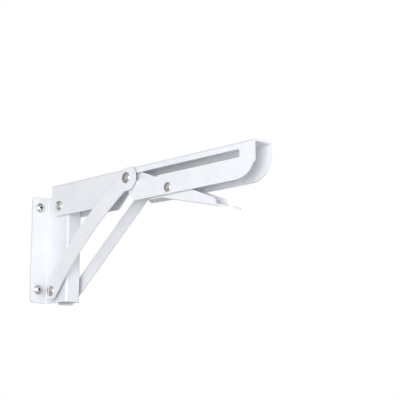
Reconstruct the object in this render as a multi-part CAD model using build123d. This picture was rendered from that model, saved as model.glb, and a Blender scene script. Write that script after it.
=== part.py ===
"""Folding shelf bracket: a wall plate, a swinging arm, a sliding brace and its release lever.

+X runs from the wall along the arm, +Y along the wall, +Z up. The origin lies on the wall,
midway between the two upper wall screws. The bracket is shown open, with the arm level.
The arm folds down about its pivot while the brace head slides along the arm's slots.
"""
from build123d import *
from math import acos, asin, atan2, cos, degrees, hypot, radians, sin, sqrt
import os

# ---------------------------------------------------------------- driving sizes, millimetres
SHEET = 2.0                  # pressed steel of the plate, arm and brace
BEND_INNER = 0.5             # inside radius of every bend in that sheet
RUNNING = 0.05               # radial clearance of a pin in a hole that turns on it

# Wall plate: a hat section, its channel standing out of the wall
PLATE_TOP = 11.4
PLATE_BOTTOM = -101.5
CHANNEL_WIDTH = 18.0         # outside, across the two side walls
CHANNEL_DEPTH = 37.0         # outside, from the wall
FLANGE_WIDTH = 20.0          # each flange, from the channel's side wall to its edge
FLANGE_CORNER = 5.0
SCREW_SPAN = 87.5            # upper to lower wall screws
SCREW_SPREAD = 39.6          # near to far wall screws
SCREW_RADIUS = 2.0
SCREW_NECK_RADIUS = 2.2      # within the plate
SCREW_HOLE_RADIUS = 2.5
SCREW_HEAD_RADIUS = 5.1
SCREW_HEAD_HEIGHT = 3.0
SCREW_HEAD_EDGE = 0.35       # share of that height taken by the straight rim
SCREW_LENGTH = 10.0          # under the head
SCREW_POINT = 4.0            # the taper at its end
RECESS_SPAN = 5.6            # cross recess in the head
RECESS_WIDTH = 1.2
RECESS_DEPTH = 1.6

# Arm: a channel open downward
ARM_REAR = 11.7
ARM_LENGTH = 296.8
ARM_TOP = 23.6
ARM_DEPTH = 33.9
ARM_WIDTH = 23.2
ARM_FRONT_ROUND = 23.5       # lower front corner of each side wall
ARM_PIVOT_INSET = 12.7       # behind the channel's front face
ARM_PIVOT_LEVEL = 0.1
SLOT_START = 134.9
SLOT_MARGIN = 18.0           # slot's front end to the arm's front
SLOT_HEIGHT = 8.0
SLOT_BELOW_TOP = 10.6        # slot centreline under the arm's top
SLOT_CORNER = 2.5
NOTCH_START = 96.5           # the V notch that passes over the foot pin when folded
NOTCH_END = 147.4
NOTCH_DEPTH = 16.0
NOTCH_REAR_SLOPE = 0.9       # rise over run
NOTCH_FRONT_SLOPE = 1.0
NOTCH_ROUND = 2.5
SHELF_HOLE_RADIUS = 2.5
SHELF_HOLES_REAR = (50.0, 110.0)   # from the wall
SHELF_HOLES_FRONT = (13.5, 43.5)   # behind the arm's front

# Brace: two links outside the arm, from the foot pin to the slots
FOOT_PIVOT = (18.8, -89.7)
HEAD_OPEN_X = 139.4          # where the brace head stands in the slot with the arm level
LINK_SHEET = 1.6
LINK_STANDOFF = 2.3          # arm's side wall to the link beside it, over the rivet heads
LINK_HEAD_FLAT = 10.2        # head centre to the flats that pass under the shelf
NECK_ROUND = 8.0             # where a link widens into its head
# Each link: width, then how far its middle line runs above the line of the pivots at the foot,
# the middle and the head, then the radii of the foot end and the head end, and which side of
# the strip has the rounded neck: -1 below, 1 above
NEAR_LINK = (18.5, 0.0, 7.0, 0.0, 9.3, 13.0, -1)
FAR_LINK = (14.4, -1.7, -3.4, -5.2, 8.9, 12.4, 1)

# Release lever: a channel open upward, inside the arm
LEVER_SHEET = 1.6
LEVER_WIDTH = 16.0
LEVER_PIVOT_X = 195.9
LEVER_PIVOT_RISE = 6.3       # above the lower edge of the arm's side walls
LEVER_STOP_GAP = 1.5         # arm's web to the top of the stop
LEVER_STOP_LENGTH = 3.6
# Places on the lever, from its pivot
LEVER_STOP_BACK = -51.7      # rear face of the stop, which stands in front of the brace head
LEVER_STOP_LOW = 9.0
LEVER_WEB_START = (-29.9, -7.6)
LEVER_WEB_BEND = (-12.9, -7.8)
LEVER_TIP_LOW = (61.8, -25.1)
LEVER_TIP_HIGH = (58.4, -17.3)
LEVER_TIP_ROUND = 5.0
LEVER_TAB_LENGTH = 18.0
LEVER_TAB_DROP = 5.0
LEVER_TAB_CORNER = 5.0

# Rivets, sleeves and washers
PIN_RADIUS = 3.0             # arm pivot, foot pin and brace head
LEVER_PIN_RADIUS = 2.5
HEAD_RADIUS = 5.75
HEAD_HEIGHT = 2.3
LEVER_HEAD_RADIUS = 4.75
LEVER_HEAD_HEIGHT = 2.0
HEAD_RIM = 0.7               # straight rim under each domed head
SLEEVE_WALL = 2.0
LEVER_SLEEVE_WALL = 1.0
SPACER_RADIUS = 4.5
WASHER_RADIUS = 7.0
LEVER_WASHER_RADIUS = 5.5
WASHER_PLAY = 0.1
SLIDE_FLANGE_RADIUS = 5.5
SLIDE_FLANGE = 0.9
SLIDE_SHOULDER_RADIUS = 6.5  # its outer end, which holds the link off the arm

# Lever spring: a torsion spring, one leg hooked in the arm's far wall and one on the lever
WIRE = 1.2
COIL_RADIUS = 5.0            # to the middle of the wire
COIL_TURNS = 5
COIL_PITCH = 1.35
HOOK_AHEAD = 18.5            # pivot to the hook that sits in the arm's far wall
HOOK_RISE = 6.0
HOOK_END = 0.5               # how far the hook stands out of that wall
HOOK_CLEARANCE = 0.1
LEG_REACH = 30.0             # pivot to the end of the leg over the lever's web
LEG_GAP = 0.1                # that leg's wire to the web under it

# ---------------------------------------------------------------- worked out from them
ARM_FRONT = ARM_REAR + ARM_LENGTH
ARM_BOTTOM = ARM_TOP - ARM_DEPTH
ARM_HALF = ARM_WIDTH / 2
ARM_INNER_HALF = ARM_HALF - SHEET
SLOT_Z = ARM_TOP - SLOT_BELOW_TOP
SLOT_LENGTH = ARM_FRONT - SLOT_MARGIN - SLOT_START
ARM_PIVOT = (CHANNEL_DEPTH - ARM_PIVOT_INSET, ARM_PIVOT_LEVEL)
LEVER_PIVOT = (LEVER_PIVOT_X, ARM_BOTTOM + LEVER_PIVOT_RISE)
HOOK = (LEVER_PIVOT[0] + HOOK_AHEAD, LEVER_PIVOT[1] + HOOK_RISE)
CHANNEL_HALF = CHANNEL_WIDTH / 2
CHANNEL_INNER_HALF = CHANNEL_HALF - SHEET
FLANGE_EDGE = CHANNEL_HALF + FLANGE_WIDTH
LINK_INNER = ARM_HALF + LINK_STANDOFF
LINK_OUTER = LINK_INNER + LINK_SHEET
LEVER_HALF = LEVER_WIDTH / 2
LEVER_INNER_HALF = LEVER_HALF - LEVER_SHEET
HEAD_OPEN = (HEAD_OPEN_X, SLOT_Z)
BRACE_RUN = HEAD_OPEN[0] - FOOT_PIVOT[0]
BRACE_RISE = HEAD_OPEN[1] - FOOT_PIVOT[1]
BRACE_LENGTH = hypot(BRACE_RUN, BRACE_RISE)
BRACE_ANGLE = degrees(atan2(BRACE_RISE, BRACE_RUN))
# With the arm folded square down, the foot pivot stands at this depth under the slot.
FOLDED_DEPTH = SLOT_Z - ARM_PIVOT[1] + ARM_PIVOT[0] - FOOT_PIVOT[0]
FOLDED_BRACE_ANGLE = 90 - degrees(acos(FOLDED_DEPTH / BRACE_LENGTH))
SIDES = {"near": -1, "far": 1}


# ---------------------------------------------------------------- shared shapes
def side_plane(y):
    """A plane across Y whose sketch axes are the bracket's X and Z."""
    return Plane(origin=(0, y, 0), x_dir=(1, 0, 0), z_dir=(0, -1, 0))


def plate(outline, y_low, y_high):
    """A flat plate cut to a side-view outline, between two places across the bracket."""
    return extrude(side_plane(y_high) * outline, amount=y_high - y_low)


def disc(centre, radius, y_one, y_two):
    """A round bar or disc on an axis across the bracket."""
    return plate(Pos(*centre) * Circle(radius), min(y_one, y_two), max(y_one, y_two))


def ring(centre, inner, outer, y_one, y_two):
    """A washer, spacer or sleeve on an axis across the bracket."""
    outline = Pos(*centre) * (Circle(outer) - Circle(inner))
    return plate(outline, min(y_one, y_two), max(y_one, y_two))


def crown(radius, low, high):
    """The arc of a spherical cap in section, from its rim to its top on the axis."""
    rise = high - low
    sphere = (radius ** 2 + rise ** 2) / (2 * rise)
    half_spread = asin(radius / sphere) / 2
    middle = (sphere * sin(half_spread), high - sphere * (1 - cos(half_spread)))
    return ThreePointArc((radius, low), middle, (0, high))


def domed_head(centre, face_y, side, radius, height):
    """A rivet head on a straight rim, seated on a face and domed away from it."""
    rim = Polyline((0, height), (0, 0), (radius, 0), (radius, HEAD_RIM))
    head = revolve(make_face(rim + crown(radius, HEAD_RIM, height)), Axis.Y)
    if side < 0:
        head = Rot(180, 0, 0) * head
    return Pos(centre[0], face_y, centre[1]) * head


def band(path, half_width):
    """The outline of a strip of even width along a path, mitred where the path turns."""
    points = [Vector(*point) for point in path]
    headings = [(end - start).normalized() for start, end in zip(points, points[1:])]
    before = [headings[0]] + headings
    after = headings + [headings[-1]]
    left, right = [], []
    for point, turn_in, turn_out in zip(points, before, after):
        across_in = Vector(-turn_in.Y, turn_in.X)
        across_out = Vector(-turn_out.Y, turn_out.X)
        mitre = (across_in + across_out) * (half_width / (1 + across_in.dot(across_out)))
        left.append(point + mitre)
        right.append(point - mitre)
    return make_face(Polyline(*left, *reversed(right), close=True))


def corners_at(face, places):
    """The corners of a flat face that lie nearest the given places."""
    return [min(face.vertices(), key=lambda corner: (corner.center() - Vector(*place)).length)
            for place in places]


# ---------------------------------------------------------------- wall plate
def wall_plate():
    """A hat section of pressed sheet, with two flanges on the wall and a deep channel."""
    inside_depth = CHANNEL_DEPTH - SHEET
    half = [(0, FLANGE_EDGE), (SHEET, FLANGE_EDGE), (SHEET, CHANNEL_HALF), (CHANNEL_DEPTH, CHANNEL_HALF)]
    other_half = [(x, -y) for x, y in reversed(half)]
    inside = [(0, -CHANNEL_INNER_HALF), (inside_depth, -CHANNEL_INNER_HALF),
              (inside_depth, CHANNEL_INNER_HALF), (0, CHANNEL_INNER_HALF)]
    section = make_face(Polyline(*half, *other_half, *inside, close=True))
    mirrored = [-1, 1]
    tight = [(SHEET, side * CHANNEL_HALF) for side in mirrored]
    tight += [(inside_depth, side * CHANNEL_INNER_HALF) for side in mirrored]
    section = fillet(corners_at(section, tight), BEND_INNER)
    wide = [(CHANNEL_DEPTH, side * CHANNEL_HALF) for side in mirrored]
    wide += [(0, side * CHANNEL_INNER_HALF) for side in mirrored]
    section = fillet(corners_at(section, wide), BEND_INNER + SHEET)
    body = extrude(Plane.XY.offset(PLATE_BOTTOM) * section, amount=PLATE_TOP - PLATE_BOTTOM)
    flange_corners = body.edges().filter_by(Axis.X).filter_by(
        lambda edge: abs(edge.center().Y) > FLANGE_EDGE - 0.01)
    body = fillet(flange_corners, FLANGE_CORNER)
    for pivot in (ARM_PIVOT, FOOT_PIVOT):
        body -= disc(pivot, PIN_RADIUS + RUNNING, -FLANGE_EDGE, FLANGE_EDGE)
    for y, z in screw_places():
        body -= Pos(SHEET / 2, y, z) * Rot(0, 90, 0) * Cylinder(SCREW_HOLE_RADIUS, SHEET)
    return body


def screw_places():
    """Y and Z of the four wall screws, the upper pair first."""
    return [(side * SCREW_SPREAD / 2, z) for z in (0, -SCREW_SPAN) for side in SIDES.values()]


def wall_screw(y, z):
    """A pan-head wood screw with a cross recess, its head on the flange."""
    rim = SCREW_HEAD_HEIGHT * SCREW_HEAD_EDGE
    outline = Polyline((0, SCREW_HEAD_HEIGHT), (0, -SCREW_LENGTH), (SCREW_RADIUS, SCREW_POINT - SCREW_LENGTH),
                       (SCREW_RADIUS, -SHEET), (SCREW_NECK_RADIUS, -SHEET), (SCREW_NECK_RADIUS, 0),
                       (SCREW_HEAD_RADIUS, 0), (SCREW_HEAD_RADIUS, rim))
    body = revolve(make_face(outline + crown(SCREW_HEAD_RADIUS, rim, SCREW_HEAD_HEIGHT)), Axis.Y)
    for size in ((RECESS_SPAN, RECESS_WIDTH), (RECESS_WIDTH, RECESS_SPAN)):
        body -= Pos(0, SCREW_HEAD_HEIGHT, 0) * Box(size[0], 2 * RECESS_DEPTH, size[1])
    return Pos(SHEET, y, z) * Rot(0, 0, -90) * body


# ---------------------------------------------------------------- arm
def arm_outline():
    """One side wall of the arm: rounded at the pivot and the front, with notch and slot."""
    middle = ((ARM_REAR + ARM_FRONT) / 2, (ARM_TOP + ARM_BOTTOM) / 2)
    wall = Pos(*middle) * Rectangle(ARM_LENGTH, ARM_DEPTH)
    wall = fillet(corners_at(wall, [(ARM_REAR, ARM_BOTTOM)]), ARM_PIVOT[1] - ARM_BOTTOM)
    wall = fillet(corners_at(wall, [(ARM_FRONT, ARM_BOTTOM)]), ARM_FRONT_ROUND)
    top = ARM_BOTTOM + NOTCH_DEPTH
    rear_top = (NOTCH_START + NOTCH_DEPTH / NOTCH_REAR_SLOPE, top)
    front_top = (NOTCH_END - NOTCH_DEPTH / NOTCH_FRONT_SLOPE, top)
    notch = make_face(Polyline((NOTCH_START, ARM_BOTTOM), rear_top, front_top, (NOTCH_END, ARM_BOTTOM),
                               close=True))
    wall -= fillet(corners_at(notch, [rear_top, front_top]), NOTCH_ROUND)
    slot = RectangleRounded(SLOT_LENGTH, SLOT_HEIGHT, SLOT_CORNER)
    return wall - Pos(SLOT_START + SLOT_LENGTH / 2, SLOT_Z) * slot


def arm_channel():
    """The arm: a web under the shelf and two side walls, bent from one sheet."""
    body = plate(arm_outline(), -ARM_HALF, ARM_HALF)
    bends = body.edges().filter_by(Axis.X).filter_by(
        lambda edge: edge.center().Z > ARM_TOP - 0.01)
    body = fillet(bends, BEND_INNER + SHEET)
    inside_top = ARM_TOP - SHEET
    cavity = Pos((ARM_REAR + ARM_FRONT) / 2, 0, inside_top - ARM_DEPTH / 2) * Box(
        ARM_LENGTH + 2 * SHEET, 2 * ARM_INNER_HALF, ARM_DEPTH)
    top_edges = cavity.edges().filter_by(Axis.X).filter_by(
        lambda edge: edge.center().Z > inside_top - 0.01)
    body -= fillet(top_edges, BEND_INNER)
    body -= disc(ARM_PIVOT, PIN_RADIUS, -ARM_HALF, ARM_HALF)
    body -= disc(LEVER_PIVOT, LEVER_PIN_RADIUS, -ARM_HALF, ARM_HALF)
    body -= disc(HOOK, WIRE / 2 + HOOK_CLEARANCE, ARM_INNER_HALF, ARM_HALF)
    for x in SHELF_HOLES_REAR + tuple(ARM_FRONT - back for back in SHELF_HOLES_FRONT):
        body -= Pos(x, 0, ARM_TOP - SHEET / 2) * Cylinder(SHELF_HOLE_RADIUS, SHEET)
    return body


# ---------------------------------------------------------------- arm pivot
def arm_pivot_pin():
    """The rivet that the arm turns on, domed outside both side walls."""
    body = disc(ARM_PIVOT, PIN_RADIUS, -ARM_HALF, ARM_HALF)
    for side in SIDES.values():
        body += domed_head(ARM_PIVOT, side * ARM_HALF, side, HEAD_RADIUS, HEAD_HEIGHT)
    return body


def pivot_sleeve(centre):
    """A sleeve that keeps the channel's side walls apart and lets the pin turn."""
    bore = PIN_RADIUS + RUNNING
    return ring(centre, bore, bore + SLEEVE_WALL, -CHANNEL_INNER_HALF, CHANNEL_INNER_HALF)


def arm_pivot_washer(side):
    """A thin washer on the channel, between it and the arm's side wall."""
    outside = ARM_INNER_HALF - WASHER_PLAY
    return ring(ARM_PIVOT, PIN_RADIUS + RUNNING, WASHER_RADIUS, side * CHANNEL_HALF, side * outside)


# ---------------------------------------------------------------- brace
def link_outline(width, foot_rise, middle_rise, head_rise, foot_radius, head_radius, neck_side):
    """One brace link laid flat: a bowed strip with a round foot and a round, flatted head."""
    sides = [ThreePointArc((0, foot_rise + edge), (BRACE_LENGTH / 2, middle_rise + edge),
                           (BRACE_LENGTH, head_rise + edge)) for edge in (width / 2, -width / 2)]
    upper, lower = sides
    strip = make_face([upper, Line(upper @ 1, lower @ 1), lower, Line(lower @ 0, upper @ 0)])
    head = Circle(head_radius)
    for angle in (BRACE_ANGLE, FOLDED_BRACE_ANGLE):
        # The shelf lies square above the arm, so each flat faces 90 degrees from the arm.
        beyond = Pos(0, LINK_HEAD_FLAT + head_radius) * Rectangle(4 * head_radius, 2 * head_radius)
        head -= Rot(0, 0, -angle) * beyond
    outline = strip + Circle(foot_radius) + Pos(BRACE_LENGTH, 0) * head
    neck_y = head_rise + neck_side * width / 2
    neck = (BRACE_LENGTH - sqrt(head_radius ** 2 - neck_y ** 2), neck_y)
    return fillet(corners_at(outline, [neck]), NECK_ROUND)


def brace_link(side, sizes):
    """One link of the brace, standing beside the arm and riveted at both ends."""
    outline = link_outline(*sizes)
    for x in (0, BRACE_LENGTH):
        outline -= Pos(x, 0) * Circle(PIN_RADIUS)
    near_face = -LINK_OUTER if side < 0 else LINK_INNER
    along = Vector(cos(radians(BRACE_ANGLE)), 0, sin(radians(BRACE_ANGLE)))
    lie = Plane(origin=(FOOT_PIVOT[0], near_face + LINK_SHEET, FOOT_PIVOT[1]), x_dir=along, z_dir=(0, -1, 0))
    return extrude(lie * outline, amount=LINK_SHEET)


def brace_foot_pin():
    """The rivet through both links and the wall plate's channel."""
    body = disc(FOOT_PIVOT, PIN_RADIUS, -LINK_OUTER, LINK_OUTER)
    for side in SIDES.values():
        body += domed_head(FOOT_PIVOT, side * LINK_OUTER, side, HEAD_RADIUS, HEAD_HEIGHT)
    return body


def brace_foot_spacer(side):
    """A spacer on the foot pin that holds a link clear of the folded arm."""
    return ring(FOOT_PIVOT, PIN_RADIUS, SPACER_RADIUS, side * (CHANNEL_HALF + WASHER_PLAY), side * LINK_INNER)


def brace_head_rivet(side):
    """The rivet at a link's head, domed outside and flush inside."""
    shank = disc(HEAD_OPEN, PIN_RADIUS, side * LINK_INNER, side * LINK_OUTER)
    return shank + domed_head(HEAD_OPEN, side * LINK_OUTER, side, HEAD_RADIUS, HEAD_HEIGHT)


def slot_slide(side):
    """The button that runs in one slot, flanged inside the wall and shouldered outside it."""
    inner_face = side * (ARM_INNER_HALF - WASHER_PLAY)
    outer_face = side * (ARM_HALF + WASHER_PLAY)
    button = disc(HEAD_OPEN, SLOT_HEIGHT / 2 - RUNNING, inner_face, outer_face)
    button += disc(HEAD_OPEN, SLIDE_FLANGE_RADIUS, inner_face, inner_face - side * SLIDE_FLANGE)
    return button + disc(HEAD_OPEN, SLIDE_SHOULDER_RADIUS, outer_face, side * (LINK_INNER - WASHER_PLAY))


# ---------------------------------------------------------------- release lever
def on_lever(place):
    """A place on the lever, given from its pivot, in the bracket's own axes."""
    return (LEVER_PIVOT[0] + place[0], LEVER_PIVOT[1] + place[1])


def lever_wall_outline():
    """One side wall of the lever: a stop at the rear, tapering to the tip."""
    stop_x = LEVER_PIVOT[0] + LEVER_STOP_BACK
    stop_z = ARM_TOP - SHEET - LEVER_STOP_GAP
    stop_top, ramp_top = (stop_x, stop_z), (stop_x + LEVER_STOP_LENGTH, stop_z)
    stop_low = (stop_x, LEVER_PIVOT[1] + LEVER_STOP_LOW)
    tip_high, tip_low = on_lever(LEVER_TIP_HIGH), on_lever(LEVER_TIP_LOW)
    wall = make_face(Polyline(stop_top, ramp_top, tip_high, tip_low, on_lever(LEVER_WEB_BEND),
                              on_lever(LEVER_WEB_START), stop_low, close=True))
    wall = fillet(corners_at(wall, [stop_top, ramp_top, stop_low]), LEVER_SHEET)
    return fillet(corners_at(wall, [tip_high]), LEVER_TIP_ROUND)


def lever_web_path():
    """The middle of the lever's web in side view, from its rear edge to the finger tab."""
    rise = LEVER_SHEET / 2
    tab_end = (LEVER_TIP_LOW[0] + LEVER_TAB_LENGTH, LEVER_TIP_LOW[1] - LEVER_TAB_DROP)
    path = [on_lever(place) for place in (LEVER_WEB_START, LEVER_WEB_BEND, LEVER_TIP_LOW, tab_end)]
    return [(x, z + rise) for x, z in path]


def release_lever():
    """The lever: two side walls joined by a web below, with a finger tab at the tip."""
    web = plate(band(lever_web_path(), LEVER_SHEET / 2), -LEVER_HALF, LEVER_HALF)
    tab_edge = LEVER_PIVOT[0] + LEVER_TIP_LOW[0] + LEVER_TAB_LENGTH - LEVER_SHEET
    tab_corners = [edge for edge in web.edges()
                   if edge.center().X > tab_edge and abs(edge.center().Y) > LEVER_HALF - 0.01
                   and edge.length < 2 * LEVER_SHEET]
    body = fillet(tab_corners, LEVER_TAB_CORNER)
    for side in SIDES.values():
        faces = sorted((side * LEVER_INNER_HALF, side * LEVER_HALF))
        body += plate(lever_wall_outline(), *faces)
    return body - disc(LEVER_PIVOT, LEVER_PIN_RADIUS + RUNNING, -LEVER_HALF, LEVER_HALF)


def lever_pivot_pin():
    """The rivet that the lever turns on, domed outside both of the arm's side walls."""
    body = disc(LEVER_PIVOT, LEVER_PIN_RADIUS, -ARM_HALF, ARM_HALF)
    for side in SIDES.values():
        body += domed_head(LEVER_PIVOT, side * ARM_HALF, side, LEVER_HEAD_RADIUS, LEVER_HEAD_HEIGHT)
    return body


def lever_sleeve():
    """The sleeve between the lever's walls that carries the spring's coil."""
    bore = LEVER_PIN_RADIUS + RUNNING
    return ring(LEVER_PIVOT, bore, bore + LEVER_SLEEVE_WALL, -LEVER_INNER_HALF, LEVER_INNER_HALF)


def lever_washer(side):
    """A washer that centres the lever between the arm's side walls."""
    inside = LEVER_HALF + WASHER_PLAY
    return ring(LEVER_PIVOT, LEVER_PIN_RADIUS, LEVER_WASHER_RADIUS, side * inside, side * ARM_INNER_HALF)


# ---------------------------------------------------------------- lever spring
def lever_web_level(x):
    """Height of the lever web's upper face at a distance from the wall."""
    low, tip = on_lever(LEVER_WEB_BEND), on_lever(LEVER_TIP_LOW)
    slope = (tip[1] - low[1]) / (tip[0] - low[0])
    return low[1] + slope * (x - low[0]) + LEVER_SHEET * hypot(1, slope)


def wire_run(start, end):
    """A straight run of spring wire from one point to another, rounded at both ends."""
    path = Line(start, end)
    rod = sweep(Plane(path @ 0, z_dir=path % 0) * Circle(WIRE / 2), path=path)
    return rod + Pos(*start) * Sphere(WIRE / 2) + Pos(*end) * Sphere(WIRE / 2)


def lever_spring():
    """A torsion spring: coils round the sleeve, one leg on the arm and one on the lever."""
    x, z = LEVER_PIVOT
    # The coil runs a whole number of turns, so both legs leave it from its front.
    height = COIL_TURNS * COIL_PITCH
    coil_path = Helix(COIL_PITCH, height, COIL_RADIUS, center=(0, 0, -height / 2))
    wire = Plane(coil_path @ 0, z_dir=coil_path % 0) * Circle(WIRE / 2)
    coil = sweep(wire, path=coil_path, is_frenet=True)
    # Stand the coil's axis across the bracket with the start of its turns toward +X.
    body = Pos(x, 0, z) * Rot(90, 0, 0) * coil
    far_y, near_y = height / 2, -height / 2
    bend = (HOOK[0], far_y, HOOK[1])
    body += wire_run((x + COIL_RADIUS, far_y, z), bend)
    body += wire_run(bend, (HOOK[0], ARM_HALF + HOOK_END, HOOK[1]))
    lever_level = lever_web_level(x + LEG_REACH) + WIRE / 2 + LEG_GAP
    return body + wire_run((x + COIL_RADIUS, near_y, z), (x + LEG_REACH, near_y, lever_level))


# ---------------------------------------------------------------- all pieces
def all_pieces():
    """Every piece of the bracket under its own name."""
    pieces = {
        "wall_plate": wall_plate(),
        "arm_channel": arm_channel(),
        "arm_pivot_pin": arm_pivot_pin(),
        "arm_pivot_sleeve": pivot_sleeve(ARM_PIVOT),
        "brace_link_near": brace_link(SIDES["near"], NEAR_LINK),
        "brace_link_far": brace_link(SIDES["far"], FAR_LINK),
        "brace_foot_pin": brace_foot_pin(),
        "brace_foot_sleeve": pivot_sleeve(FOOT_PIVOT),
        "release_lever": release_lever(),
        "lever_pivot_pin": lever_pivot_pin(),
        "lever_sleeve": lever_sleeve(),
        "lever_spring": lever_spring(),
    }
    for number, (y, z) in enumerate(screw_places(), start=1):
        pieces[f"wall_screw_{number}"] = wall_screw(y, z)
    for name, side in SIDES.items():
        pieces[f"arm_pivot_washer_{name}"] = arm_pivot_washer(side)
        pieces[f"brace_foot_spacer_{name}"] = brace_foot_spacer(side)
        pieces[f"brace_head_rivet_{name}"] = brace_head_rivet(side)
        pieces[f"slot_slide_{name}"] = slot_slide(side)
        pieces[f"lever_washer_{name}"] = lever_washer(side)
    return pieces


os.makedirs("parts", exist_ok=True)
for node, solid in all_pieces().items():
    export_step(solid, f"parts/{node}.step")
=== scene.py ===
import bmesh
import bpy
import math
from mathutils import Matrix, Vector


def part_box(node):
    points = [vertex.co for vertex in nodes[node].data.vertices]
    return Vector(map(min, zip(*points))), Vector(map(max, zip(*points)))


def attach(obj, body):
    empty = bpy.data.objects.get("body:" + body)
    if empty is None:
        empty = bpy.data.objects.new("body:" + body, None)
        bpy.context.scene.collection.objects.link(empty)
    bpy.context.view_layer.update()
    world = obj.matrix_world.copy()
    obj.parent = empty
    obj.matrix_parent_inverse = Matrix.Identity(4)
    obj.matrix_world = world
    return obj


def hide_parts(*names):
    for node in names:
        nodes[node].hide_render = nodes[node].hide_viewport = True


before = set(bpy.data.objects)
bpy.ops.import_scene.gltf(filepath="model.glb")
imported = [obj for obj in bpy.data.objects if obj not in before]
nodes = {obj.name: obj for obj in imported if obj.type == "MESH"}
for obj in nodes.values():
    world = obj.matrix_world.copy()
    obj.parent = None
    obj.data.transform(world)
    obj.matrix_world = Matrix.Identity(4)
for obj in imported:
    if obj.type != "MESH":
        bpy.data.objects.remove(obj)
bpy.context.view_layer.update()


# ---------------------------------------------------------------- wall plate
# The plate is pressed from 2 mm steel into a hat section, then powder coated white. The coat
# rounds the cut edges and has a fine orange peel with a few specks. The grey on the cut edges
# is painted shade, and partly a thinner coat there.
COAT_WHITE = (0.85, 0.86, 0.885, 1)
COAT_COOL = (0.80, 0.82, 0.86, 1)
# Grey for the cut edges: painted edge shade, partly a thinner coat.
COAT_THIN_EDGE_SHADE = (0.55, 0.57, 0.61, 1)
COAT_SPECK = (0.42, 0.40, 0.38, 1)
COAT_EDGE = 0.0004
COAT_EDGE_SHADE_SHARE = 0.22
COAT_SPECK_SHARE = 0.5
COAT_ROUGH = (0.34, 0.46)
PEEL_HEIGHT = 0.00004
PEEL_WAVES = 700
CLOUD_WAVES = 32
SPECK_CELLS = 95
SPECK_RIM, SPECK_CORE = 0.032, 0.018


def node_group(name, inputs, outputs):
    """An empty shader group with named sockets, and its input and output nodes."""
    group = bpy.data.node_groups.new(name, "ShaderNodeTree")
    for label, kind, value in inputs:
        socket = group.interface.new_socket(label, in_out="INPUT", socket_type=kind)
        socket.default_value = value
    for label, kind in outputs:
        group.interface.new_socket(label, in_out="OUTPUT", socket_type=kind)
    return group, group.nodes.new("NodeGroupInput"), group.nodes.new("NodeGroupOutput")


def link(tree, source, label, target, socket):
    """Joins a node's named output to another node's input, by name or number."""
    tree.links.new(source.outputs[label], target.inputs[socket])


def ramp(tree, source, label, low, high):
    """A value that climbs from 0 to 1 while the source's output goes from low to high."""
    node = tree.nodes.new("ShaderNodeMapRange")
    node.inputs["From Min"].default_value = low
    node.inputs["From Max"].default_value = high
    link(tree, source, label, node, "Value")
    return node


def texture_space(tree, group_input):
    """The piece's own coordinates, moved by the group's Offset so that no two pieces match."""
    place = tree.nodes.new("ShaderNodeTexCoord")
    moved = tree.nodes.new("ShaderNodeMapping")
    link(tree, place, "Object", moved, "Vector")
    link(tree, group_input, "Offset", moved, "Location")
    return moved


def noise(tree, space, scale, detail, rough=0.5):
    """Fractal noise with a number of waves to the metre."""
    node = tree.nodes.new("ShaderNodeTexNoise")
    node.inputs["Scale"].default_value = scale
    node.inputs["Detail"].default_value = detail
    node.inputs["Roughness"].default_value = rough
    link(tree, space, "Vector", node, "Vector")
    return node


def soft_edge_group():
    """Rounds the cut edges of sheet for the light, and marks where they are."""
    group, given, made = node_group(
        "soft_edge", [("Radius", "NodeSocketFloat", COAT_EDGE)],
        [("Edge", "NodeSocketFloat"), ("Normal", "NodeSocketVector")])
    bevel = group.nodes.new("ShaderNodeBevel")
    bevel.samples = 6
    link(group, given, "Radius", bevel, "Radius")
    surface = group.nodes.new("ShaderNodeNewGeometry")
    match = group.nodes.new("ShaderNodeVectorMath")
    match.operation = "DOT_PRODUCT"
    link(group, bevel, "Normal", match, 0)
    link(group, surface, "Normal", match, 1)
    edge = ramp(group, match, "Value", 1.0, 0.75)
    link(group, edge, "Result", made, "Edge")
    link(group, bevel, "Normal", made, "Normal")
    return group


def orange_peel_group():
    """The skin of baked powder: fine waves, broad cloudiness and rare dark specks."""
    group, given, made = node_group(
        "orange_peel", [("Offset", "NodeSocketVector", (0, 0, 0))],
        [("Height", "NodeSocketFloat"), ("Cloud", "NodeSocketFloat"), ("Speck", "NodeSocketFloat")])
    space = texture_space(group, given)
    link(group, noise(group, space, PEEL_WAVES, 2), "Fac", made, "Height")
    cloud = ramp(group, noise(group, space, CLOUD_WAVES, 3), "Fac", 0.35, 0.7)
    link(group, cloud, "Result", made, "Cloud")
    cells = group.nodes.new("ShaderNodeTexVoronoi")
    cells.inputs["Scale"].default_value = SPECK_CELLS
    link(group, space, "Vector", cells, "Vector")
    link(group, ramp(group, cells, "Distance", SPECK_RIM, SPECK_CORE), "Result", made, "Speck")
    return group


soft_edge = soft_edge_group()
orange_peel = orange_peel_group()


def place_group(tree, group, **values):
    """A group placed in a material with its own values."""
    node = tree.nodes.new("ShaderNodeGroup")
    node.node_tree = group
    for label, value in values.items():
        node.inputs[label].default_value = value
    return node


def blend_colour(tree, amount, label, base, over):
    """Lays one colour over another by a mask. Each is a colour, or a node whose colour is used."""
    mix = tree.nodes.new("ShaderNodeMix")
    mix.data_type = "RGBA"
    link(tree, amount, label, mix, "Factor")
    for socket, colour in ((6, base), (7, over)):
        if isinstance(colour, tuple):
            mix.inputs[socket].default_value = colour
        else:
            tree.links.new(colour.outputs[2], mix.inputs[socket])
    return mix


def new_material(name):
    """A material with its node tree and its Principled shader."""
    material = bpy.data.materials.new(name)
    material.use_nodes = True
    return material, material.node_tree, material.node_tree.nodes["Principled BSDF"]


def scaled(tree, source, label, low, high):
    """A 0 to 1 value spread between two others."""
    node = tree.nodes.new("ShaderNodeMapRange")
    node.inputs["To Min"].default_value = low
    node.inputs["To Max"].default_value = high
    link(tree, source, label, node, "Value")
    return node


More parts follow.
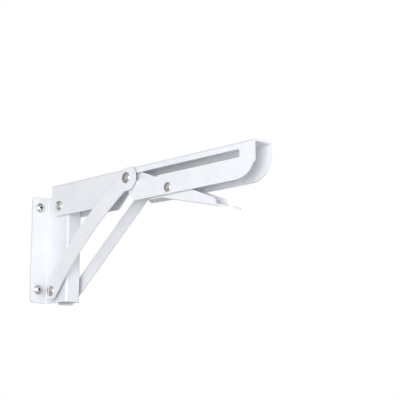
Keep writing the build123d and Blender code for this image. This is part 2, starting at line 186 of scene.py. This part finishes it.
def powder_coat(name, offset):
    """White semi-gloss powder on steel, with its pattern moved by an offset."""
    material, tree, shader = new_material(name)
    peel = place_group(tree, orange_peel, Offset=offset)
    edge = place_group(tree, soft_edge, Radius=COAT_EDGE)
    # Cut edges greyed by the bevel mask: painted edge shade, partly a thinner coat.
    edge_shade = scaled(tree, edge, "Edge", 0, COAT_EDGE_SHADE_SHARE)
    speck = scaled(tree, peel, "Speck", 0, COAT_SPECK_SHARE)
    colour = blend_colour(tree, peel, "Cloud", COAT_WHITE, COAT_COOL)
    colour = blend_colour(tree, edge_shade, "Result", colour, COAT_THIN_EDGE_SHADE)
    colour = blend_colour(tree, speck, "Result", colour, COAT_SPECK)
    tree.links.new(colour.outputs[2], shader.inputs["Base Color"])
    link(tree, scaled(tree, peel, "Cloud", *COAT_ROUGH), "Result", shader, "Roughness")
    bump = tree.nodes.new("ShaderNodeBump")
    bump.inputs["Distance"].default_value = PEEL_HEIGHT
    link(tree, peel, "Height", bump, "Height")
    link(tree, edge, "Normal", bump, "Normal")
    link(tree, bump, "Normal", shader, "Normal")
    return material


def finish_node(name, material):
    """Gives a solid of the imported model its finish."""
    slots = nodes[name].data.materials
    slots.clear()
    slots.append(material)


finish_node("wall_plate", powder_coat("powder_coat_plate", (0.1, 0.2, 0.3)))


# ---------------------------------------------------------------- wall screws
# Four pan-head wood screws of zinc-plated steel hold the plate to the wall. Each is cold headed
# with a cross recess, and its thread is rolled up to the unthreaded neck under the head.
SCREW_HEAD_HEIGHT = 0.003
SCREW_NECK = 0.002
SCREW_POINT = 0.004
SCREW_CORE = 0.0013
SCREW_THREAD = 0.0020
SCREW_NECK_RADIUS = 0.0018
THREAD_PITCH = 0.0018
THREAD_STEPS = 18
RECESS_WIDTH = 0.0014
RECESS_SPAN = 0.0062
RECESS_DEPTH = 0.0021
RECESS_FLOOR = 0.3
RECESS_TAPER = 0.8
POINT_BLUNTNESS = 0.12
RIDGE_FOOT = 0.3
RIDGE_ROOT = 0.96
NECK_STRAIGHT = 0.8
RIM_DRAFT = 0.3
CROWN_STEPS = 6
DULL_WAVES = 320
PIT_WAVES = 1900
ZINC = (0.74, 0.73, 0.70, 1)
ZINC_DULL = (0.50, 0.49, 0.47, 1)
# Near-black for the cross recess: painted shade in the hollow.
ZINC_RECESS_SHADE = (0.05, 0.048, 0.045, 1)
SCREW_SHOULDER = 0.0009
SCREW_RIM = 0.0007


def plating_group():
    """Plated metal close up: cloudy dulling and fine pits."""
    group, given, made = node_group(
        "plating", [("Offset", "NodeSocketVector", (0, 0, 0))],
        [("Dull", "NodeSocketFloat"), ("Height", "NodeSocketFloat")])
    space = texture_space(group, given)
    dull = ramp(group, noise(group, space, DULL_WAVES, 4, 0.6), "Fac", 0.42, 0.72)
    link(group, dull, "Result", made, "Dull")
    link(group, noise(group, space, PIT_WAVES, 3, 0.7), "Fac", made, "Height")
    return group


plating = plating_group()


def plated_metal(name, bright, dull, smooth, rough, offset, pit):
    """Plated steel that is brighter and smoother in some places than in others."""
    material, tree, shader = new_material(name)
    shader.inputs["Metallic"].default_value = 1.0
    skin = place_group(tree, plating, Offset=offset)
    colour = blend_colour(tree, skin, "Dull", bright, dull)
    tree.links.new(colour.outputs[2], shader.inputs["Base Color"])
    link(tree, scaled(tree, skin, "Dull", smooth, rough), "Result", shader, "Roughness")
    bump = tree.nodes.new("ShaderNodeBump")
    bump.inputs["Distance"].default_value = pit
    link(tree, skin, "Height", bump, "Height")
    link(tree, bump, "Normal", shader, "Normal")
    return material


def arc(centre, radius, start, end, count):
    """Points on an arc in a section, as (along the axis, away from it), angles in degrees."""
    steps = [math.radians(start + (end - start) * i / (count - 1)) for i in range(count)]
    return [(centre[0] + radius * math.sin(a), centre[1] + radius * math.cos(a)) for a in steps]


def turned(bm, section, centre, axis, steps=48):
    """Turns a section of (along, away) points on an axis through a centre."""
    away = Vector((0, 0, 1))
    made = [bm.verts.new(centre + axis * along + away * out) for along, out in section]
    edges = [bm.edges.new(pair) for pair in zip(made, made[1:])]
    bmesh.ops.spin(bm, geom=made + edges, cent=centre, axis=axis, angle=math.tau, steps=steps,
                   use_merge=True)


def closed_piece(name, bm, materials):
    """Merges a mesh's doubles, turns its faces outward and makes it an object."""
    bmesh.ops.remove_doubles(bm, verts=bm.verts, dist=1e-7)
    bmesh.ops.recalc_face_normals(bm, faces=bm.faces)
    mesh = bpy.data.meshes.new(name)
    bm.to_mesh(mesh)
    bm.free()
    mesh.shade_smooth()
    for material in materials:
        mesh.materials.append(material)
    piece = bpy.data.objects.new(name, mesh)
    bpy.context.scene.collection.objects.link(piece)
    return piece


def cap_section(seat, top, radius, shoulder, rim, outward):
    """A head in section: a straight rim, a rounded shoulder and a shallow crown."""
    crown_rise = top - seat - rim - shoulder
    crown_out = radius - shoulder
    crown = (crown_out ** 2 + crown_rise ** 2) / (2 * crown_rise)
    spread = math.asin(crown_out / crown)
    section = [(0, radius - rim * RIM_DRAFT)]
    section += arc((rim, crown_out), shoulder, 0, 90 - math.degrees(spread), 6)
    lift, start = section[-1]
    for step in range(1, CROWN_STEPS + 1):
        angle = spread * (1 - step / CROWN_STEPS)
        climbed = (math.cos(angle) - math.cos(spread)) / (1 - math.cos(spread))
        section.append((lift + (top - seat - lift) * climbed, start * math.sin(angle) / math.sin(spread)))
    return [(seat + along * outward, out) for along, out in section]


def cut_recess(piece, top, centre, dark):
    """Cuts the cross recess, two tapered slots at right angles, into a screw's head."""
    for size in ((RECESS_SPAN, RECESS_WIDTH), (RECESS_WIDTH, RECESS_SPAN)):
        bm = bmesh.new()
        bmesh.ops.create_cube(bm, size=1)
        bmesh.ops.scale(bm, vec=(2 * RECESS_DEPTH, *size), verts=bm.verts)
        floor = [v for v in bm.verts if v.co.x < 0]
        taper = [max(RECESS_FLOOR, RECESS_WIDTH / span * RECESS_TAPER) for span in size]
        bmesh.ops.scale(bm, vec=(1, *taper), verts=floor)
        bmesh.ops.translate(bm, vec=(top, centre.y, centre.z), verts=bm.verts)
        cutter = closed_piece("recess_cutter", bm, [dark])
        # The cutter's near-black material passes to the recess faces as painted shade.
        cut = piece.modifiers.new("recess", "BOOLEAN")
        cut.object = cutter
        cut.solver = "EXACT"
        cut.material_mode = "TRANSFER"
        view = bpy.context.evaluated_depsgraph_get()
        cut_mesh = bpy.data.meshes.new_from_object(piece.evaluated_get(view))
        piece.modifiers.clear()
        piece.data = cut_mesh
        bpy.data.objects.remove(cutter)


def thread_ridge(bm, seat, tip, outer, centre):
    """A rolled thread: a small ridge carried round the core along a helix."""
    start = tip + THREAD_PITCH / 2
    turns = (seat - SCREW_NECK - start) / THREAD_PITCH
    foot = THREAD_PITCH * RIDGE_FOOT
    root = SCREW_CORE * RIDGE_ROOT
    section = [(start - foot, root), (start, outer), (start + foot, root)]
    made = [bm.verts.new((x, centre.y, centre.z + out)) for x, out in section]
    edges = [bm.edges.new((made[i], made[(i + 1) % 3])) for i in range(3)]
    steps = round(turns * THREAD_STEPS)
    bmesh.ops.contextual_create(bm, geom=edges)
    faces = list(bm.faces)
    bmesh.ops.spin(bm, geom=made + edges + faces, cent=centre, axis=(1, 0, 0), angle=math.tau * turns,
                   dvec=(THREAD_PITCH / THREAD_STEPS, 0, 0), steps=steps)


def wall_screw(node, metal, dark):
    """One screw in the place of the solid that stands for it."""
    low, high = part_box(node)
    centre = Vector((0, (low.y + high.y) / 2, (low.z + high.z) / 2))
    seat, tip = high.x - SCREW_HEAD_HEIGHT, low.x
    head_radius = (high.y - low.y) / 2
    bm = bmesh.new()
    thread_ridge(bm, seat, tip, SCREW_THREAD, centre)
    neck = seat - SCREW_NECK
    shoulder = seat - SCREW_NECK * NECK_STRAIGHT
    shank = [(tip, 0.0), (tip, SCREW_CORE), (neck, SCREW_CORE), (shoulder, SCREW_NECK_RADIUS),
             (seat, SCREW_NECK_RADIUS)]
    turned(bm, shank, centre, Vector((1, 0, 0)), 24)
    for vert in bm.verts:
        point = max(POINT_BLUNTNESS, min(1, (vert.co.x - tip) / SCREW_POINT))
        away = Vector((0, vert.co.y - centre.y, vert.co.z - centre.z))
        vert.co += away * (point - 1)
    shank_piece = closed_piece(node.replace("wall_screw", "wall_screw_shank"), bm, [metal])
    bm = bmesh.new()
    section = [(seat, 0.0)] + cap_section(seat, high.x, head_radius, SCREW_SHOULDER, SCREW_RIM, 1)
    turned(bm, section, centre, Vector((1, 0, 0)), 48)
    head_piece = closed_piece(node.replace("wall_screw", "wall_screw_head"), bm, [metal])
    cut_recess(head_piece, high.x, centre, dark)
    for piece in (shank_piece, head_piece):
        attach(piece, "plate")
        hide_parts(node)


screw_metal = plated_metal("screw_zinc", ZINC, ZINC_DULL, 0.24, 0.42, (0.3, 0.1, 0.5), 0.00001)
# The recess faces take near-black metal: painted shade in the cross recess.
recess_shade_metal = plated_metal("screw_recess_shade", ZINC_RECESS_SHADE, ZINC_RECESS_SHADE, 0.45, 0.6, (0.7, 0.2, 0.1),
                            0.00002)
for screw in sorted(name for name in nodes if name.startswith("wall_screw_")):
    wall_screw(screw, screw_metal, recess_shade_metal)


# ---------------------------------------------------------------- arm
# The arm is a channel bent from the same sheet, open downward, with a slot punched in each side
# wall. It is coated before riveting, like the plate.
finish_node("arm_channel", powder_coat("powder_coat_arm", (0.6, 0.9, 0.2)))


# ---------------------------------------------------------------- rivets
# Four nickel-plated steel rivets join the pieces. Each head is formed by a turning tool, which
# leaves a shallow crown with a tight round shoulder; the very fine rings it also leaves are not drawn.
NICKEL = (0.90, 0.87, 0.83, 1)
NICKEL_DULL = (0.72, 0.68, 0.63, 1)
RIVET_SHOULDER = 0.0010
RIVET_RIM = 0.0004
PIVOT_SHANK = 0.0030
LEVER_SHANK = 0.0025


def rivet(name, node, body, shank, faces, material):
    """A rivet with a formed head outside each given face, which is (place across, outward)."""
    low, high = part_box(node)
    centre = Vector(((low.x + high.x) / 2, 0, (low.z + high.z) / 2))
    radius = (high.x - low.x) / 2
    section = []
    for face, outward in faces:
        top = high.y if outward > 0 else -low.y
        head = cap_section(abs(face), top, radius, RIVET_SHOULDER, RIVET_RIM, 1)
        side = [(along * outward, out) for along, out in head]
        seat = [(face, shank)]
        section = section + seat + side if outward > 0 else side[::-1] + seat
    if len(faces) == 1:
        face, outward = faces[0]
        inner = low.y if outward > 0 else high.y
        ends = [(inner, 0.0), (inner, shank)]
        section = ends + section if outward > 0 else section + ends[::-1]
    bm = bmesh.new()
    turned(bm, section, centre, Vector((0, 1, 0)), 56)
    piece = closed_piece(name, bm, [material])
    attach(piece, body)
    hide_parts(node)
    return piece


arm_low, arm_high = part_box("arm_channel")
link_low, link_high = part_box("brace_link_near")[0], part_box("brace_link_far")[1]
arm_faces = [(arm_low.y, -1), (arm_high.y, 1)]
link_faces = [(link_low.y, -1), (link_high.y, 1)]
nickel = plated_metal("rivet_nickel", NICKEL, NICKEL_DULL, 0.12, 0.24, (0.2, 0.6, 0.4), 0.000006)
rivet("arm_pivot_rivet", "arm_pivot_pin", "arm", PIVOT_SHANK, arm_faces, nickel)
rivet("lever_rivet", "lever_pivot_pin", "arm", LEVER_SHANK, arm_faces, nickel)
rivet("brace_foot_rivet", "brace_foot_pin", "brace", PIVOT_SHANK, link_faces, nickel)
rivet("brace_head_rivet_left", "brace_head_rivet_near", "brace", PIVOT_SHANK, link_faces[:1], nickel)
rivet("brace_head_rivet_right", "brace_head_rivet_far", "brace", PIVOT_SHANK, link_faces[1:], nickel)


# ---------------------------------------------------------------- brace
# Two blanked links of the same sheet stand outside the arm, a bowed one on the near side and a
# straighter, narrower one on the far side. Both are powder coated.
finish_node("brace_link_near", powder_coat("powder_coat_near_link", (0.4, 0.1, 0.8)))
finish_node("brace_link_far", powder_coat("powder_coat_far_link", (0.9, 0.5, 0.6)))


# ---------------------------------------------------------------- release lever
# The lever is a narrower channel of 1.6 mm sheet with a finger tab at its tip. It is powder
# coated too, and turns between the arm's walls.
finish_node("release_lever", powder_coat("powder_coat_lever", (0.5, 0.7, 0.1)))


# ---------------------------------------------------------------- inner parts
# Sleeves, spacers and slides are turned from plated steel, and the washers are pressed from
# nylon. Little of them shows once the bracket is riveted.
NYLON = (0.80, 0.79, 0.74, 1)
NYLON_DEEP = (0.70, 0.68, 0.61, 1)
STEEL = (0.56, 0.56, 0.57, 1)
STEEL_DULL = (0.38, 0.38, 0.39, 1)


def nylon(name):
    """Natural nylon, a little cloudy and waxy."""
    material, tree, shader = new_material(name)
    skin = place_group(tree, orange_peel, Offset=(0.15, 0.35, 0.75))
    colour = blend_colour(tree, skin, "Cloud", NYLON, NYLON_DEEP)
    tree.links.new(colour.outputs[2], shader.inputs["Base Color"])
    link(tree, scaled(tree, skin, "Cloud", 0.4, 0.55), "Result", shader, "Roughness")
    bump = tree.nodes.new("ShaderNodeBump")
    bump.inputs["Distance"].default_value = PEEL_HEIGHT / 2
    link(tree, skin, "Height", bump, "Height")
    link(tree, bump, "Normal", shader, "Normal")
    return material


washer_nylon = nylon("washer_nylon")
plain_steel = plated_metal("plain_steel", STEEL, STEEL_DULL, 0.28, 0.45, (0.8, 0.3, 0.2), 0.00001)
for name in nodes:
    if "washer" in name:
        finish_node(name, washer_nylon)
    elif "sleeve" in name or "spacer" in name or "slide" in name:
        finish_node(name, plain_steel)


# ---------------------------------------------------------------- lever spring
# A torsion spring is wound from drawn wire round the lever's sleeve. One leg is hooked in the
# arm's far wall. The other presses the lever's web, and turns with the lever as the coil winds.
WIRE_RADIUS = 0.0006
WIRE_SIDES = 12
COIL_RADIUS = 0.005
COIL_TURNS = 5
COIL_PITCH = 0.00135
COIL_STEPS = 28
HOOK_AHEAD = 0.0185


def straight_wire(bm, start, end):
    """A straight run of wire, rounded at both ends."""
    run = end - start
    lie = Matrix.Translation((start + end) / 2) @ run.to_track_quat("Z", "X").to_matrix().to_4x4()
    bmesh.ops.create_cone(bm, cap_ends=True, segments=WIRE_SIDES, depth=run.length, matrix=lie,
                          radius1=WIRE_RADIUS, radius2=WIRE_RADIUS)
    for place in (start, end):
        bmesh.ops.create_uvsphere(bm, u_segments=WIRE_SIDES, v_segments=WIRE_SIDES // 2,
                                  radius=WIRE_RADIUS, matrix=Matrix.Translation(place))


def spring_piece(name, body, bm, metal):
    """A finished run of the spring's wire, moving with a body."""
    piece = closed_piece(name, bm, [metal])
    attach(piece, body)
    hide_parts("lever_spring")


def lever_spring(metal):
    """The coil with its hooked leg on the arm, and the other leg on the lever."""
    low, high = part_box("lever_spring")
    pin_low, pin_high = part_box("lever_pivot_pin")
    middle = Vector(((pin_low.x + pin_high.x) / 2, 0, (pin_low.z + pin_high.z) / 2))
    width = COIL_TURNS * COIL_PITCH
    start = middle + Vector((COIL_RADIUS, width / 2, 0))
    bm = bmesh.new()
    bmesh.ops.create_circle(bm, cap_ends=True, segments=WIRE_SIDES, radius=WIRE_RADIUS,
                            matrix=Matrix.Translation(start))
    bmesh.ops.spin(bm, geom=bm.verts[:] + bm.edges[:] + bm.faces[:], cent=middle, axis=(0, -1, 0),
                   angle=math.tau * COIL_TURNS, dvec=(0, -COIL_PITCH / COIL_STEPS, 0),
                   steps=COIL_STEPS * COIL_TURNS)
    bend = Vector((middle.x + HOOK_AHEAD, start.y, high.z - WIRE_RADIUS))
    straight_wire(bm, start, bend)
    straight_wire(bm, bend, Vector((bend.x, high.y - WIRE_RADIUS, bend.z)))
    spring_piece("lever_spring_coil", "arm", bm, metal)
    bm = bmesh.new()
    root = middle + Vector((COIL_RADIUS, -width / 2, 0))
    straight_wire(bm, root, Vector((high.x - WIRE_RADIUS, root.y, low.z + WIRE_RADIUS)))
    spring_piece("lever_spring_leg", "lever", bm, metal)


lever_spring(plated_metal("spring_wire", STEEL_DULL, STEEL, 0.22, 0.35, (0.1, 0.8, 0.6), 0.000005))


# ---------------------------------------------------------------- studio
# A plain pale floor lies well below the bracket, in a pale surround that is dimmer overhead. One
# soft lamp stands beside the camera and a weaker one in front. The camera is low, in front.
FLOOR_LEVEL = -0.34
FLOOR_SPAN = 12.0
CAMERA_PLACE = Vector((0.94615, -0.69191, -0.20796))
CAMERA_AIM = Vector((-0.70762, 0.68172, 0.18580))
CAMERA_LENS = 97.96
SURROUND_BRIGHT = (0.93, 0.96, 1.0, 1)
SURROUND_DIM = (0.30, 0.30, 0.31, 1)
BACKDROP = (1.0, 1.0, 1.0, 1)
BRIGHT_SIDE = (0.60, -0.55, -0.58)
SURROUND_STRENGTH = 0.78
FLOOR_TONES = ((0.86, 0.86, 0.86, 1), (0.84, 0.84, 0.845, 1))
KEY_LAMP_AIM = (0.15, 0, -0.03)
FRONT_LAMP_AIM = (0.10, 0, -0.03)


def pale_floor():
    """A seamless matt floor with a trace of mottling."""
    bm = bmesh.new()
    bmesh.ops.create_grid(bm, x_segments=1, y_segments=1, size=FLOOR_SPAN / 2)
    bmesh.ops.translate(bm, vec=(0, 0, FLOOR_LEVEL), verts=bm.verts)
    material, tree, shader = new_material("floor_paint")
    skin = place_group(tree, orange_peel, Offset=(0, 0, 0))
    colour = blend_colour(tree, skin, "Cloud", *FLOOR_TONES)
    tree.links.new(colour.outputs[2], shader.inputs["Base Color"])
    shader.inputs["Roughness"].default_value = 0.9
    mesh = bpy.data.meshes.new("floor")
    bm.to_mesh(mesh)
    bm.free()
    mesh.materials.append(material)
    floor = bpy.data.objects.new("floor", mesh)
    bpy.context.scene.collection.objects.link(floor)


def surround():
    """Light from all round, brighter in front and below than overhead, before a plain backdrop."""
    world = bpy.data.worlds.new("surround")
    world.use_nodes = True
    tree = world.node_tree
    shade = tree.nodes["Background"]
    place = tree.nodes.new("ShaderNodeTexCoord")
    facing = tree.nodes.new("ShaderNodeVectorMath")
    facing.operation = "DOT_PRODUCT"
    link(tree, place, "Generated", facing, 0)
    facing.inputs[1].default_value = Vector(BRIGHT_SIDE).normalized()
    lit = ramp(tree, facing, "Value", -0.55, 0.35)
    colour = blend_colour(tree, lit, "Result", SURROUND_DIM, SURROUND_BRIGHT)
    tree.links.new(colour.outputs[2], shade.inputs["Color"])
    shade.inputs["Strength"].default_value = SURROUND_STRENGTH
    seen = tree.nodes.new("ShaderNodeBackground")
    seen.inputs["Color"].default_value = BACKDROP
    choice = tree.nodes.new("ShaderNodeMixShader")
    path = tree.nodes.new("ShaderNodeLightPath")
    link(tree, path, "Is Camera Ray", choice, "Fac")
    tree.links.new(shade.outputs["Background"], choice.inputs[1])
    tree.links.new(seen.outputs["Background"], choice.inputs[2])
    link(tree, choice, "Shader", tree.nodes["World Output"], "Surface")
    bpy.context.scene.world = world


def soft_lamp(name, place, aim, size, power, colour):
    """A square soft box at a place, turned to a point."""
    lamp = bpy.data.lights.new(name, "AREA")
    lamp.size = size
    lamp.energy = power
    lamp.color = colour
    box = bpy.data.objects.new(name, lamp)
    box.location = place
    box.rotation_euler = (Vector(aim) - Vector(place)).to_track_quat("-Z", "Y").to_euler()
    bpy.context.scene.collection.objects.link(box)


def studio_camera():
    """The camera, low in front of the bracket on its near side, looking slightly up."""
    lens = bpy.data.cameras.new("camera")
    lens.lens = CAMERA_LENS
    lens.sensor_width = 36
    lens.clip_start, lens.clip_end = 0.05, 50
    camera = bpy.data.objects.new("camera", lens)
    across = CAMERA_AIM.cross(Vector((0, 0, 1))).normalized()
    up = across.cross(CAMERA_AIM)
    turn = Matrix((across, up, -CAMERA_AIM)).transposed().to_4x4()
    camera.matrix_world = Matrix.Translation(CAMERA_PLACE) @ turn
    bpy.context.scene.collection.objects.link(camera)
    bpy.context.scene.camera = camera


pale_floor()
surround()
soft_lamp("key_lamp", (0.75, -1.0, -0.05), KEY_LAMP_AIM, 0.7, 8.6, (1.0, 0.99, 0.98))
soft_lamp("front_lamp", (1.40, -0.10, -0.10), FRONT_LAMP_AIM, 0.6, 4, (1.0, 1.0, 1.0))
studio_camera()
bpy.context.scene.view_settings.view_transform = "Standard"
